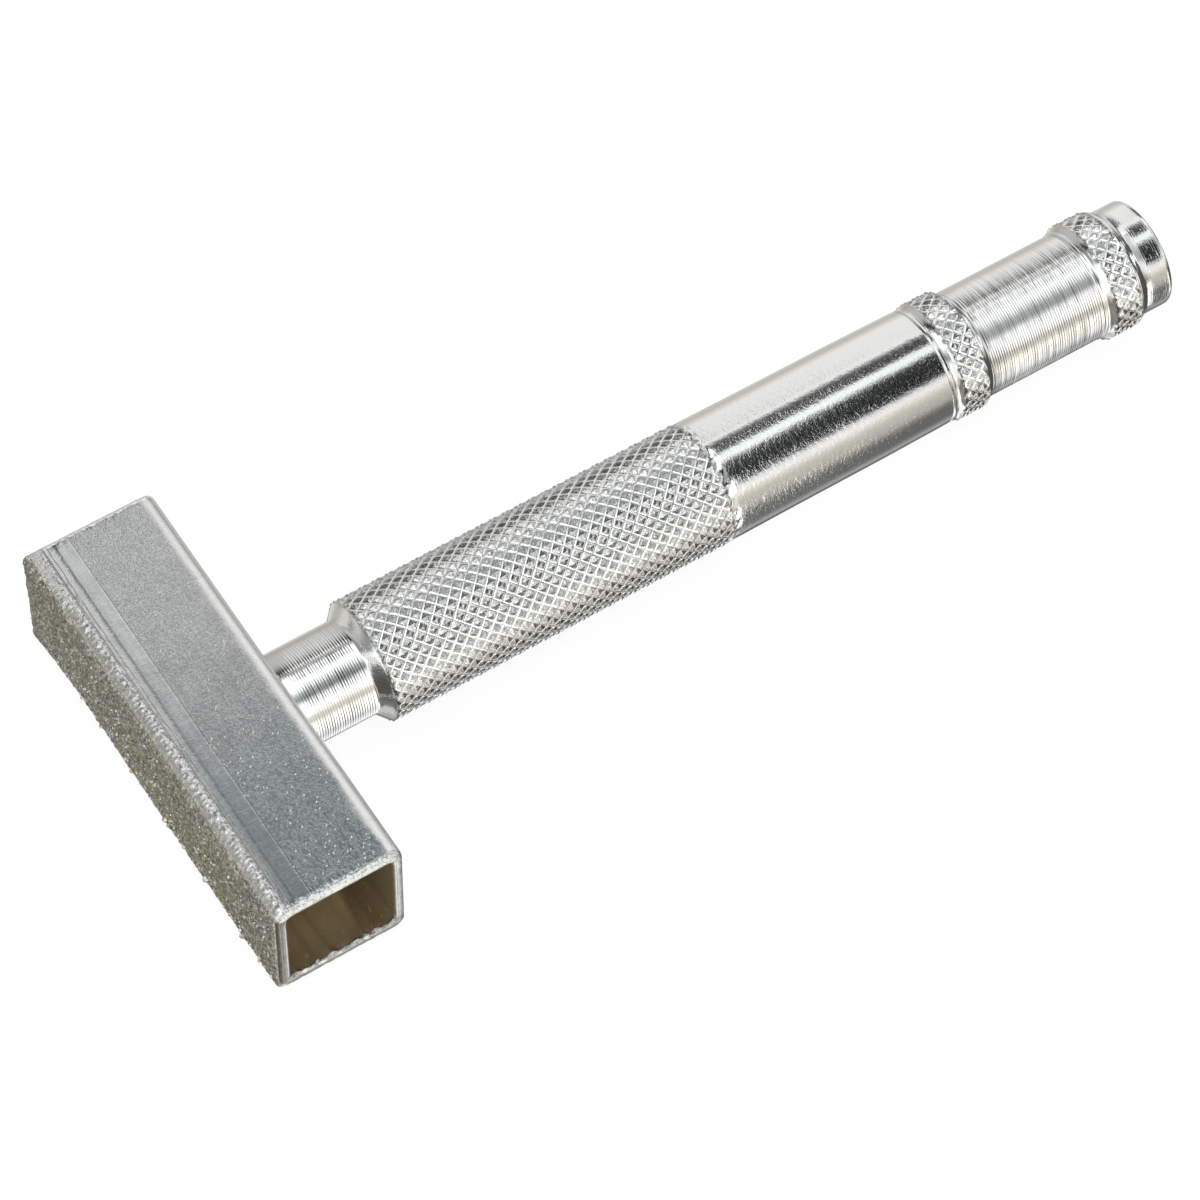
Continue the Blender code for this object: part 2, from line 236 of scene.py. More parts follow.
def plated_tube_material():
    """Zinc plate: fine worm-like grain, wiped marks behind the grit, a paler rear edge, brown inside."""
    material, graph = new_material("zinc_plate")
    x, y, z = graph.place()
    depth = abs(y) * -1 + TUBE_HALF_LENGTH
    start = TUBE_HALF_WIDTH - TUBE_WALL - INNER_CORNER
    sideways = (abs(x) - start).largest(0.0)
    upwards = (abs(z - TUBE_MIDDLE_Z / MM) - start).largest(0.0)
    reach = (sideways * sideways + upwards * upwards) ** 0.5 - INNER_CORNER
    burred = depth.above(0.55, 0.30) * z.above(2.3, 1.9) * y.above(0.0, -1.0)
    # Painted shade: near the top wall, the inside's brown colour and finish reach about 0.36 mm further
    # over the end face, as a dark band under the bright top edge
    painted_shade_under_top = z.above(11.6, 12.2) * 0.36
    inside = reach.above(painted_shade_under_top + 0.16, painted_shade_under_top + 0.04) * (1 - burred)
    coarse = graph.cloud(0.6, 2.0, 0.5)
    fringe = coarse - 0.5
    near_rim = (y + fringe * 0.9).above(0.62 - TUBE_HALF_LENGTH, 0.40 - TUBE_HALF_LENGTH)
    far_rim = (y + fringe * 0.5).above(TUBE_HALF_LENGTH - 0.40, TUBE_HALF_LENGTH - 0.28)
    rim = near_rim + far_rim
    peel = graph.cloud(0.15, 2.0, 0.6, (1.0, 0.8, 1.0))
    worms = abs(graph.cloud(0.42, 3.0, 0.6, (1.0, 0.7, 1.0), 8.0) - 0.5).above(0.0, 0.08)
    dents = graph.cloud(4.5, 1.0, 0.5)
    near_half = y.above(8.0, -12.0)
    specks = graph.cells(0.55).above(0.20, 0.10) * (
        graph.cloud(1.7, 1.0, 0.5, (1, 1, 1), 3.0) + near_half * 0.12).above(0.52, 0.60)
    strokes = graph.cloud(0.16, 2.0, 0.5, (0.22, 1.0, 1.0), 2.0)

    # Lengthwise marks on the flats: smears by the grit, a soft trough darkened with painted shade, fine
    # lines, a smooth strip, and the plating mask's edge as a painted highlight line beside a painted shadow
    # line
    wobble = (graph.cloud(3.0, 2.0, 0.5, (0.01, 1.0, 0.01)) - 0.5) * 0.20
    patches = (graph.cloud(1.3, 3.0, 0.55, (1.0, 0.6, 1.0), 4.0) - 0.5) * 1.6
    smear = (x + patches).above(*SMEAR_EDGE)
    trough = (x + wobble + (strokes - 0.5) * 0.16).between(*TROUGH, 0.13)
    faint_line = (x + wobble * 0.5).between(-3.86, -3.82, 0.04)
    pale_line = (x + wobble).between(-4.72, -4.62, 0.05) + faint_line * 0.6
    strip = x.between(*SMOOTH_STRIP, 0.10)
    mask_edge_highlight = (x + fringe * 0.05).between(*MASK_LINE, 0.025)
    mask_edge_shadow = (x + fringe * 0.05).between(*SHADOW_LINE, 0.03)
    # Paler, rougher plate towards the rear edge
    pale_rear_edge = (x + (graph.cloud(2.6, 4.0, 0.6, (1, 1, 1), 7.0) - 0.5) * 1.6).above(4.70, 5.60)
    open_plate = 1 - strip

    plate = graph.blend(peel.above(0.36, 0.64), (0.50, 0.52, 0.525), (0.72, 0.74, 0.74))
    plate = graph.blend(worms * -0.40 + 0.40, plate, (1.0, 1.0, 1.0))
    plate = graph.blend(strip * 0.6, plate, (0.74, 0.76, 0.77))
    plate = graph.blend(graph.cloud(2.2, 3.0).above(0.42, 0.66) * 0.30, plate, (0.50, 0.50, 0.53))
    # Painted shade: the plate darker and bluer towards the near end, standing in for the dimmer reflection
    # there
    plate = graph.blend(near_half * 0.40, plate, (0.36, 0.45, 0.47))
    # Painted shade along the trough, broken into strokes
    plate = graph.blend(trough * strokes.above(0.25, 0.60) * 0.55, plate, (0.22, 0.24, 0.25))
    plate = graph.blend(pale_line * 0.35, plate, (0.92, 0.93, 0.93))
    plate = graph.blend(smear * 0.55, plate, (0.92, 0.92, 0.91))
    # Painted shadow line and painted highlight line along the plating mask's edge
    plate = graph.blend(mask_edge_shadow * 0.55, plate, (0.25, 0.26, 0.27))
    plate = graph.blend(mask_edge_highlight * (0.4 + coarse * 0.6), plate, (1.0, 1.0, 1.0))
    plate = graph.blend(specks * open_plate, plate, (1.0, 1.0, 1.0))
    plate = graph.blend(pale_rear_edge, plate, (0.95, 0.95, 0.94))
    pits = graph.cells(0.36).above(0.34, 0.18)
    top_rim = z.above(12.15, 12.55)
    inner_edge = reach.between(-0.1, 0.28, 0.06)
    crumb = graph.node("ShaderNodeSeparateColor", None, {0: graph.cells(0.19, output="Color")}).out(0)
    metal = graph.blend(coarse.above(0.35, 0.65), (0.62, 0.62, 0.61), (0.77, 0.765, 0.75))
    metal = graph.blend(x.above(-5.4, -5.9) * 0.85, metal, (0.29, 0.285, 0.25))
    low_rim = z.above(2.2, 1.4)
    metal = graph.blend(low_rim * 0.6, metal, (0.36, 0.35, 0.31))
    bare = inner_edge * (0.85 - low_rim * coarse.above(0.60, 0.50) * 0.75)
    bare = bare.largest(top_rim).largest(far_rim)
    metal = graph.blend(bare, metal, (1.0, 1.0, 0.98))
    metal = graph.blend(crumb.above(0.62, 0.70) * top_rim * (1 - far_rim) * 0.55, metal, (0.42, 0.42, 0.41))
    # Painted shade: the rims darker along their lowest rounding on the rear side
    metal = graph.blend(z.above(0.95, 0.60) * x.above(6.2, 5.6), metal, (0.22, 0.22, 0.20))
    metal = graph.blend(pits * z.between(0.95, 1.4, 0.1) * near_rim * 0.6, metal, (0.08, 0.075, 0.06))
    lip = reach.between(-0.06, 0.16, 0.04) * x.above(-1.0, -2.0) * z.above(1.5, 2.5)
    metal = graph.blend(lip * 0.8, metal, (0.95, 0.84, 0.58))
    plate = graph.blend(rim, plate, metal)

    # Brown oxide inside, painted lighter the deeper it lies to make up for the light, which reaches less
    # far in
    stain = graph.cloud(5.0, 3.0, 0.5)
    scratch = graph.cells(1.4, "DISTANCE_TO_EDGE", (0.35, 1.0, 1.0)).above(0.025, 0.008)
    dust = graph.cells(0.7).above(0.10, 0.05) * coarse.above(0.52, 0.60)
    oxide = graph.blend(depth.above(0.3, 4.8), (0.245, 0.175, 0.09), (0.58, 0.425, 0.225))
    # Painted shade: the bottom wall darker and redder towards the rear wall's corner, standing in for the
    # rear wall's dark reflection
    painted_corner_shade = (x - depth * 0.15).above(1.5, 2.4) * z.above(5.0, 2.0)
    oxide = graph.blend(painted_corner_shade * 0.8, oxide, (0.215, 0.135, 0.075))
    oxide = graph.blend(x.above(5.0, 5.4), oxide, (0.22, 0.17, 0.10))
    oxide = graph.blend(stain.above(0.40, 0.62) * 0.25, oxide, (0.25, 0.19, 0.11))
    marks = (scratch * coarse.above(0.50, 0.62) * 0.25).largest(dust * 0.7)
    oxide = graph.blend(marks, oxide, (0.80, 0.72, 0.55))
    colour = graph.blend(inside, plate, oxide)
    above_edge = z.above(11.8, 12.6)
    rough = 0.12 + coarse * 0.04 + pale_rear_edge * above_edge * 0.16 + rim * 0.16
    rough = rough * (1 - inside) + inside * 0.5
    height = peel * 0.40 + worms * open_plate * 0.45 + strokes * strip * 0.5 + coarse * 0.8
    height = height + specks * open_plate * 0.8
    height = height * (1 - smear * 0.5) + pale_line * 0.5 - trough * 1.0
    burr = graph.cloud(0.22, 3.0, 0.6, (1, 1, 1), 5.0)
    edge = (x - REAR_EASE_START).largest(0.0)
    normal = graph.bump(dents, 0.030)
    round_edge = (x - FLAT_REACH_X).largest(0.0)
    ease = (round_edge * round_edge * 0.30 - edge * edge * 0.12) * z.above(9.0, 12.0) * (1 - near_rim)
    normal = graph.bump(ease, 1.0, normal)
    normal = graph.bump(height * (1 - inside * 0.8), 0.008, normal)
    sparkle = (inner_edge * 0.5).largest(z.above(12.3, 12.8) * 0.8).largest(x.above(-6.0, -6.35))
    sparkle = sparkle.largest(z.between(0.9, 1.8, 0.1) * inner_edge * 0.7)
    normal = graph.bump(burr * rim * (0.06 + sparkle) * (1 - inside * 0.6), 0.13, normal)
    graph.surface(Base_Color=colour, Metallic=1 - inside, Roughness=rough, Normal=normal)
    return material


def bright_steel_material():
    """Bright plate over turned steel: tool rings with painted shade in their bottoms on the neck, waist and
    end; in the knurl, dark flecks, white flecks as painted glints, and groove bottoms with painted
    highlight above and painted shade below.
    """
    material, graph = new_material("bright_plate")
    x, y, z = graph.place()
    along = x - REAR_FACE_X / MM
    neck = along.above(NECK_END + 0.10, NECK_END - 0.05)
    turned = neck * 0.6 + along.between(*WAIST, 0.12) + along.between(*TURNED_END, 0.10) * 0.12
    knurled = along.between(GRIP_START - 0.15, GRIP_END + 0.38, 0.2)
    for start, end in (FIRST_BEAD, SECOND_BEAD):
        knurled = knurled + along.between(start, end + 0.05, 0.1)
    smooth = (1 - turned - knurled).largest(0.0)
    unsteady = graph.cloud(0.9, 2.0, 0.6, (1.0, 0.005, 0.005))
    rings = ((along + unsteady * 0.10) * (2 * math.pi / TOOL_PITCH)).sine() * (0.55 + unsteady * 0.9)
    rings = rings * (0.25 + y.above(2.4, 0.2) * 0.75)
    fine_rings = graph.cloud(0.085, 1.0, 0.5, (1.0, 0.0015, 0.0015))
    ripple = graph.cloud(2.2, 1.0, 0.5, (0.6, 1.0, 1.0))
    pits = graph.cells(0.55).above(0.12, 0.05) * graph.cloud(2.5, 1.0).above(0.52, 0.62)
    dust = graph.cloud(0.35, 3.0, 0.6)
    plating = graph.cloud(0.16, 2.0, 0.55, (1, 1, 1), 4.0)
    ragged = graph.cloud(0.42, 3.0, 0.7, (1.0, 0.6, 0.6), 9.0)
    radius = (y ** 2.0 + (z - AXIS_Z / MM) ** 2.0) ** 0.5
    facet = radius.above(KNURL_ROOT_RADIUS, KNURL_ROOT_RADIUS + 0.025) * knurled
    normal = graph.bump(fine_rings * turned, 0.020)
    normal = graph.bump(rings * turned, 0.0085, normal)
    normal = graph.bump(ripple - pits * smooth * 0.5, 0.010, normal)
    normal = graph.bump(ragged * smooth, 0.022, normal)
    normal = graph.bump(plating * (smooth * 0.3 + knurled), 0.018, normal)
    grey = plating.above(0.40, 0.60)
    colour = graph.blend(facet * (0.35 + grey * 0.65), (0.87, 0.87, 0.86), (0.55, 0.55, 0.535))
    fleck = graph.node("ShaderNodeSeparateColor", None, {0: graph.cells(0.15, output="Color")})
    # Dark flecks, and white flecks as painted glints, on the knurl's facets
    colour = graph.blend(facet * fleck.out(0).above(0.80, 0.84) * 0.7, colour, (0.30, 0.30, 0.29))
    colour = graph.blend(facet * fleck.out(1).above(0.80, 0.84) * 0.9, colour, (1.0, 1.0, 1.0))
    low_half = z.above(9.2, 7.6)
    # Painted highlight and painted shade: the knurl's groove bottoms near white on the upper part of the
    # grip and dark on the lower part
    colour = graph.blend((knurled - facet) * (1 - low_half * 0.8), colour, (0.97, 0.97, 0.96))
    colour = graph.blend((knurled - facet) * low_half * 0.8, colour, (0.42, 0.42, 0.40))
    # Painted shade in the bottoms of the tool rings, darker on the lower part
    ring_bottoms = turned * rings.above(0.1, -0.7) * (0.10 + low_half * 0.35)
    colour = graph.blend(ring_bottoms, colour, (0.45, 0.45, 0.43))
    rough = 0.07 + knurled * 0.05 + facet * 0.03 + turned * 0.05 + dust * 0.03
    graph.surface(Base_Color=colour, Metallic=1.0, Roughness=rough, Normal=normal)
    return material


def grit_material():
    """Nickel bond: brown grey and rough between the grains, bumpy silver where it rolls over the edges."""
    material, graph = new_material("diamond_grit")
    x, y, z = graph.place()
    depth = FRONT_FACE_X / MM - x
    fine = graph.cloud(0.14, 4.0, 0.7)
    middling = graph.cloud(0.36, 3.0, 0.6, (1, 1, 1), 1.0)
    broad = graph.cloud(2.2, 3.0, 0.55)
    on_front = (depth + (middling - 0.5) * 0.5).above(-0.25, 0.20)
    glint_cells = graph.cells(0.21, output="Color")
    pick = graph.node("ShaderNodeSeparateColor", None, {0: glint_cells})
    low_edge = z.above(7.0, 1.5)
    glint = (pick.out(0) + low_edge * 0.04).above(0.90, 0.93) * middling.above(0.42, 0.52)
    low_middle = y.between(-14, 4, 3.0) - z.above(6.0, 10.0)
    yellow = (graph.cloud(0.9, 3.0, 0.6, (1, 1, 1), 6.0) + low_middle * 0.06).above(0.57, 0.64)
    pink = graph.cloud(1.5, 3.0, 0.55, (1, 1, 1), 2.0).above(0.52, 0.62)
    hole = graph.cells(0.30, "F1", (1.0, 0.8, 1.0)).above(0.40, 0.62) * middling.above(0.56, 0.44)
    crevice = graph.cells(0.42, "DISTANCE_TO_EDGE").above(0.10, 0.02) * middling.above(0.40, 0.55)
    bond = graph.blend(fine.above(0.38, 0.62), (0.13, 0.12, 0.08), (0.80, 0.77, 0.62))
    bond = graph.blend(crevice * 0.6, bond, (0.08, 0.07, 0.05))
    bond = graph.blend(broad.above(0.46, 0.60) * 0.55, bond, (0.34, 0.315, 0.27))
    bond = graph.blend(pink * 0.5, bond, (0.62, 0.51, 0.43))
    bond = graph.blend(pick.out(2).above(0.75, 0.80) * 0.7, bond, (0.95, 0.92, 0.80))
    bond = graph.blend(yellow * 0.6, bond, (0.50, 0.50, 0.16))
    bond = graph.blend(hole * 0.6, bond, (0.05, 0.045, 0.035))
    bond = graph.blend(glint, bond, (1.0, 0.98, 0.94))
    row = (x - (middling - 0.5) * 0.5).between(-5.85, -5.30, 0.12)
    silver = graph.blend(fine.above(0.35, 0.65), (0.86, 0.85, 0.82), (1.0, 0.99, 0.97))
    silver = graph.blend(hole * (0.15 + row * 0.45), silver, (0.07, 0.07, 0.065))
    silver = graph.blend((depth + 0.45).above(0.0, 0.45) * 0.5, silver, (0.60, 0.565, 0.50))
    colour = graph.blend(on_front, silver, bond)
    rough = 0.20 + on_front * 0.18 - glint * 0.2
    normal = graph.bump(middling * (0.14 + on_front * 0.86), 0.14)
    normal = graph.bump(fine * (0.6 + on_front * 0.4), 0.05, normal)
    graph.surface(Base_Color=colour, Metallic=1 - on_front * 0.45, Roughness=rough, Normal=normal)
    return material


def crystal_material():
    """Single diamonds: grey, white and yellow-green, glassy."""
    material, graph = new_material("diamond_crystal")
    pick = graph.cells(0.8, output="Color")
    parts = graph.node("ShaderNodeSeparateColor", None, {0: pick})
    colour = graph.blend(parts.out(0).above(0.50, 0.60), (0.50, 0.49, 0.42), (0.46, 0.47, 0.16))
    colour = graph.blend(parts.out(1).above(0.42, 0.48), colour, (0.97, 0.96, 0.95))
    graph.surface(Base_Color=colour, Metallic=0.35, Roughness=0.12, IOR=2.2, Coat_Weight=0.5)
    return material


def add_piece(name, bm, material, node, crease):
    """Finish a bmesh as a piece that stands for a node of the frame."""
    mesh = bpy.data.meshes.new(name)
    bm.to_mesh(mesh)
    bm.free()
    mesh.materials.append(material)
    mesh.shade_smooth()
    if crease:
        mesh.set_sharp_from_angle(angle=math.radians(crease))
    piece = bpy.data.objects.new(name, mesh)
    bpy.context.scene.collection.objects.link(piece)
    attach(piece, BODY)
    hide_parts(node)
    return piece


def loop_of_edges(bm, points):
    verts = [bm.verts.new(point) for point in points]
    return [bm.edges.new((verts[index - 1], verts[index])) for index in range(len(verts))]


# Knurl: its heights over the groove's bottom as shares of its depth, and sizes in millimetres and degrees
KNURL_STEPS = 8
CELLS_ROUND = 28
SEGMENTS = KNURL_STEPS * CELLS_ROUND
GRIP_RADIUS = (HANDLE_HIGH.z - HANDLE_LOW.z) / 2 / MM
KNURL_HEIGHTS = (-1.0, -0.84, -0.52, -0.20, 0.0)
KNURL_DEPTH = 0.27
KNURL_CREASE = 28


class Bar:
    """A turned bar's outline in millimetres, and which of its rings are knurled."""

    def __init__(self):
        self.rings = []
        self.knurls = []

    def at(self, x, radius):
        self.rings.append((x, radius))

    def curve(self, x0, r0, x1, r1, steps, ease):
        """Rings from one place to another; ease above 1 starts flat, below 1 starts steep."""
        for step in range(1, steps + 1):
            share = step / steps
            self.at(x0 + (x1 - x0) * share, r0 + (r1 - r0) * share ** ease)

    def knurl(self, x0, x1, radius, cells, tail_cells=0, tail_radius=0.0):
        """Knurled rings, eight to a cell, and further rings over which the grooves run out."""
        rows = cells * KNURL_STEPS
        spacing = (x1 - x0) / rows
        first = len(self.rings)
        for row in range(rows + 1):
            self.at(x0 + row * spacing, radius)
        for row in range(1, tail_cells * KNURL_STEPS + 1):
            self.at(x1 + row * spacing, tail_radius + (radius - tail_radius) * max(0.0, 1 - row / 3))
        self.knurls.append((first, rows, spacing, tail_cells * KNURL_STEPS))


def handle_outline():
    bar = Bar()
    rivet_radius = 3.5
    spigot_radius = 2.6
    wall = 1.1
    head = 1.3
    for step in range(13):
        angle = math.radians(90 * step / 12)
        bar.at(-wall - head * math.cos(angle), rivet_radius * math.sin(angle))
    bar.at(-wall, spigot_radius)
    bar.at(0.0, spigot_radius)
    bar.at(0.0, 4.70)
    bar.at(0.04, 4.82)
    bar.at(0.12, NECK_RADIUS)
    for step in range(1, 5):
        bar.at(0.12 + step * 1.9, NECK_RADIUS)
    bar.curve(NECK_END, NECK_RADIUS, 8.02, 4.93, 2, 1.6)
    bar.curve(8.02, 4.93, 8.98, 5.97, 4, 1.0)
    bar.curve(8.98, 5.97, 9.10, 6.06, 2, 0.8)
    bar.knurl(GRIP_START, GRIP_END, GRIP_RADIUS, 26, 1, 6.12)
    for x, radius in ((48.5, 6.105), (52, 6.08), (56, 6.06), (60, 6.05), (64, 6.04), (67, 6.0), (70, 5.97),
                      (70.9, 5.95), (71.12, 5.945), (71.2, 5.88), (71.27, 5.86), (71.35, 5.90),
                      (71.42, 5.945), (71.62, 5.94), (71.72, 5.87), (71.82, 5.85), (72.0, 5.90),
                      (72.2, 5.98), (72.34, 6.08)):
        bar.at(x, radius)
    bar.knurl(*FIRST_BEAD, 6.22, 2)
    for x, radius in ((75.32, 6.06), (75.42, 5.90), (75.58, 5.82), (75.74, 5.78), (75.86, 5.70),
                      (75.98, 5.61), (76.1, 5.585), *((x, WAIST_RADIUS) for x in (79, 82, 85, 88, 88.9)),
                      (88.97, 5.54), (89.06, 5.54), (89.12, 5.63), (89.2, 5.665), (89.5, 5.665),
                      (89.6, 5.68), (89.75, 5.80), (89.95, 5.93), (90.1, 6.03)):
        bar.at(x, radius)
    bar.knurl(*SECOND_BEAD, 6.2, 2)
    for x, radius in ((93.08, 5.96), (93.14, 5.98), (93.2, 6.05), (93.34, 6.05), (93.42, 5.97),
                      (93.55, 5.92), (93.72, 5.83), (93.88, 5.68), (94.0, 5.60), (94.15, 5.555)):
        bar.at(x, radius)
    end = (HANDLE_END_X - REAR_FACE_X) / MM
    edge = 0.28
    for x in (95.0, 96.0, 96.6):
        bar.at(x, END_RADIUS)
    for step in range(1, 6):
        angle = math.radians(90 * step / 5)
        bar.at(end - edge + edge * math.sin(angle), END_RADIUS - edge * (1 - math.cos(angle)))
    bar.at(end, 3.0)
    bar.at(end, 0.0)
    return bar


def groove_height(cell):
    """Height over the groove's bottom line, from -1 to 0, at a place across the grooves in cells."""
    away = abs(cell - round(cell)) * KNURL_STEPS
    low = min(int(away), len(KNURL_HEIGHTS) - 2)
    share = away - low
    return KNURL_HEIGHTS[low] * (1 - share) + KNURL_HEIGHTS[low + 1] * share


def make_handle():
    chance = random.Random(11)
    bar = handle_outline()
    bm = bmesh.new()
    outline = []
    for x, radius in bar.rings:
        outline.append(bm.verts.new((x, 0, radius)))
    edges = [bm.edges.new(pair) for pair in zip(outline, outline[1:])]
    bmesh.ops.spin(bm, geom=outline + edges, cent=(0, 0, 0), axis=(1, 0, 0), angle=2 * math.pi,
                   steps=SEGMENTS, use_merge=True)
    bmesh.ops.remove_doubles(bm, verts=bm.verts, dist=1e-4)

    # Which ring and column each vertex of a knurl belongs to
    tails = [chance.uniform(0.35, 1.0) for _ in range(CELLS_ROUND)]
    grid = {}
    for first, rows, spacing, tail in bar.knurls:
        start = bar.rings[first][0]
        for vert in bm.verts:
            row = (vert.co.x - start) / spacing
            if -0.01 < row < rows + tail + 0.01 and abs(row - round(row)) < 0.01:
                turn = math.atan2(-vert.co.y, vert.co.z) / (2 * math.pi) * SEGMENTS
                grid[vert] = (round(row), round(turn) % SEGMENTS, rows, tail)
    for face in list(bm.faces):
        if len(face.verts) == 4 and all(vert in grid for vert in face.verts):
            spots = [grid[vert][:2] for vert in face.verts]
            if len({row for row, _ in spots}) != 2:
                continue
            row = sum(spot[0] for spot in spots) / 4
            columns = [spot[1] for spot in spots]
            if max(columns) - min(columns) > 1:
                columns = [column or SEGMENTS for column in columns]
            column = sum(columns) / 4
            across = groove_height((row + column) / KNURL_STEPS)
            along = groove_height((row - column) / KNURL_STEPS)
            same = across < along
            corners = sorted(face.verts, key=lambda vert: grid[vert][0])
            low_pair = corners[:2]
            high_pair = corners[2:]

            def rank(vert):
                value = grid[vert][1]
                return value + SEGMENTS if value == 0 and max(columns) == SEGMENTS else value
            low_pair.sort(key=rank)
            high_pair.sort(key=rank)
            pair = (low_pair[1], high_pair[0]) if same else (low_pair[0], high_pair[1])
            bmesh.utils.face_split(face, *pair)
    for vert, (row, column, rows, tail) in grid.items():
        cell_up = (row + column) / KNURL_STEPS
        cell_down = (row - column) / KNURL_STEPS
        up = groove_height(cell_up)
        down = groove_height(cell_down)
        edge = min(1.0, (row + 1.5) / 3)
        if row > rows:
            line = round(cell_up) % CELLS_ROUND
            past = (row - rows) / max(tail, 1)
            up *= max(0.0, 1 - past / tails[line])
            down = 0.0
            edge = 0.5
        elif tail == 0:
            edge = min(edge, (rows - row + 1.5) / 3)
        sink = KNURL_DEPTH * min(1.0, edge) * min(up, down)
        radius = math.hypot(vert.co.y, vert.co.z)
        scale = (radius + sink) / radius
        vert.co.y *= scale
        vert.co.z *= scale
    bmesh.ops.scale(bm, verts=bm.verts, vec=(MM, MM, MM))
    bmesh.ops.translate(bm, verts=bm.verts, vec=(REAR_FACE_X, 0, AXIS_Z))
    bmesh.ops.recalc_face_normals(bm, faces=bm.faces)
    root = {vert for vert, (row, column, rows, tail) in grid.items()
            if (row + column) % KNURL_STEPS == 0 or (row - column) % KNURL_STEPS == 0}
    for edge in bm.edges:
        edge.smooth = (math.degrees(edge.calc_face_angle(0.0)) < KNURL_CREASE
                       or all(vert in root for vert in edge.verts))
    return add_piece("turned_handle", bm, bright_steel_material(), "handle", 0)


# Each end of the tube is rounded, in millimetres: outer edge along the tube and through the wall, inner lip
NEAR_RIM = (0.72, 0.38, 0.30)
FAR_RIM = (0.42, 0.12, 0.15)
RIM_DEPTH = 1.2
RIM_STEPS = 5
CORNER_STEPS = 9
OUTLINE_SPACING = 0.2


def rounded_outline():
    """Evenly spaced points round the tube's outer section in XZ."""
    points = []
    for quarter, (side, level) in enumerate(((1, 1), (-1, 1), (-1, -1), (1, -1))):
        centre = Vector((side * FLAT_REACH_X, 0, level * FLAT_REACH_Z))
        arc = []
        for step in range(CORNER_STEPS + 1):
            angle = math.radians(90 * quarter + 90 * step / CORNER_STEPS)
            arc.append(centre + OUTER_CORNER * Vector((math.cos(angle), 0, math.sin(angle))))
        last = arc.pop()
        points.extend(arc)
        following = Vector((last.x if quarter % 2 else -last.x, 0, -last.z if quarter % 2 else last.z))
        count = round((following - last).length / OUTLINE_SPACING)
        for step in range(count):
            points.append(last.lerp(following, step / count))
    return [point + Vector((0, 0, TUBE_MIDDLE_Z / MM)) for point in points]


def make_tube():
    """The tube as one wall section swept round its outline at each end, with worn and dented rims."""
    outer = rounded_outline()
    middle = Vector((0, 0, TUBE_MIDDLE_Z / MM))
    bm = bmesh.new()

    def wall_section(outer_along, outer_through, lip):
        """The wall's section at one end: inset from outside, distance from the end, whether on the lip."""
        section = [(0.0, RIM_DEPTH, False)]
        for step in range(RIM_STEPS + 1):
            angle = math.radians(90 * step / RIM_STEPS)
            inset = outer_through * (1 - math.cos(angle))
            section.append((inset, outer_along * (1 - math.sin(angle)), False))
        for step in range(RIM_STEPS + 1):
            angle = math.radians(90 * step / RIM_STEPS)
            section.append((TUBE_WALL - lip * (1 - math.sin(angle)), lip * (1 - math.cos(angle)), True))
        section.append((TUBE_WALL, RIM_DEPTH, False))
        return section

    def inset_point(point, inset):
        """A point of the outer outline moved inwards by an inset, with the corner's radius shrinking."""
        share = inset / TUBE_WALL
        corner = OUTER_CORNER + (INNER_CORNER - OUTER_CORNER) * share
        local = point - middle
        out_x = max(0.0, abs(local.x) - FLAT_REACH_X) / OUTER_CORNER
        out_z = max(0.0, abs(local.z) - FLAT_REACH_Z) / OUTER_CORNER
        new_reach_x = TUBE_HALF_WIDTH - inset - corner
        new_reach_z = TUBE_HALF_HEIGHT - inset - corner
        share_x = min(abs(local.x), FLAT_REACH_X) / FLAT_REACH_X
        share_z = min(abs(local.z), FLAT_REACH_Z) / FLAT_REACH_Z
        x = math.copysign(share_x * new_reach_x + out_x * corner, local.x)
        z = math.copysign(share_z * new_reach_z + out_z * corner, local.z)
        return Vector((x, 0, z)) + middle

    loops = []
    for end in (-1, 1):
        ordered = wall_section(*NEAR_RIM) if end < 0 else wall_section(*FAR_RIM)[::-1]
        rough_end = 1.0 if end < 0 else 0.5
        for section_inset, section_depth, on_lip in ordered:
            loop = []
            for point in outer:
                # The near end's lip is worn wider along the top wall
                wear = 1.0
                if on_lip and end < 0:
                    wear += 0.5 * max(0.0, (point.z - middle.z) / TUBE_HALF_HEIGHT) ** 4
                inset = TUBE_WALL - (TUBE_WALL - section_inset) * wear
                depth = section_depth * wear
                place = inset_point(point, inset)
                place.y = end * (TUBE_HALF_LENGTH - depth)
                if depth < 1.0:
                    dent = (noise.noise(place * 2.6) * 0.06 + noise.noise(place * 0.8) * 0.04) * rough_end
                    burr = 0.0
                    if end < 0 and inset > 0.75 and place.z < middle.z - TUBE_HALF_HEIGHT + 1.4:
                        burr = 0.12 + max(0.0, noise.noise(place * 2.0)) * 0.75
                    inward = (middle - place)
                    inward.y = 0
                    inward.normalize()
                    place += inward * (abs(dent) * 0.8 + burr)
                    place.y -= end * abs(dent)
                loop.append(place)
            loops.append(loop_of_edges(bm, loop))
    for index in range(len(loops)):
        bmesh.ops.bridge_loops(bm, edges=loops[index - 1] + loops[index])
    bmesh.ops.scale(bm, verts=bm.verts, vec=(MM, MM, MM))
    bmesh.ops.recalc_face_normals(bm, faces=bm.faces)
    return add_piece("plated_tube", bm, plated_tube_material(), "head_tube", 40)


# Grit: sizes in millimetres, and how full the bead is that rolls over the tube's corners
GRIT_STEP = 0.13
GRIT_WRAP = 1.5
BEAD_FULLNESS = 0.12


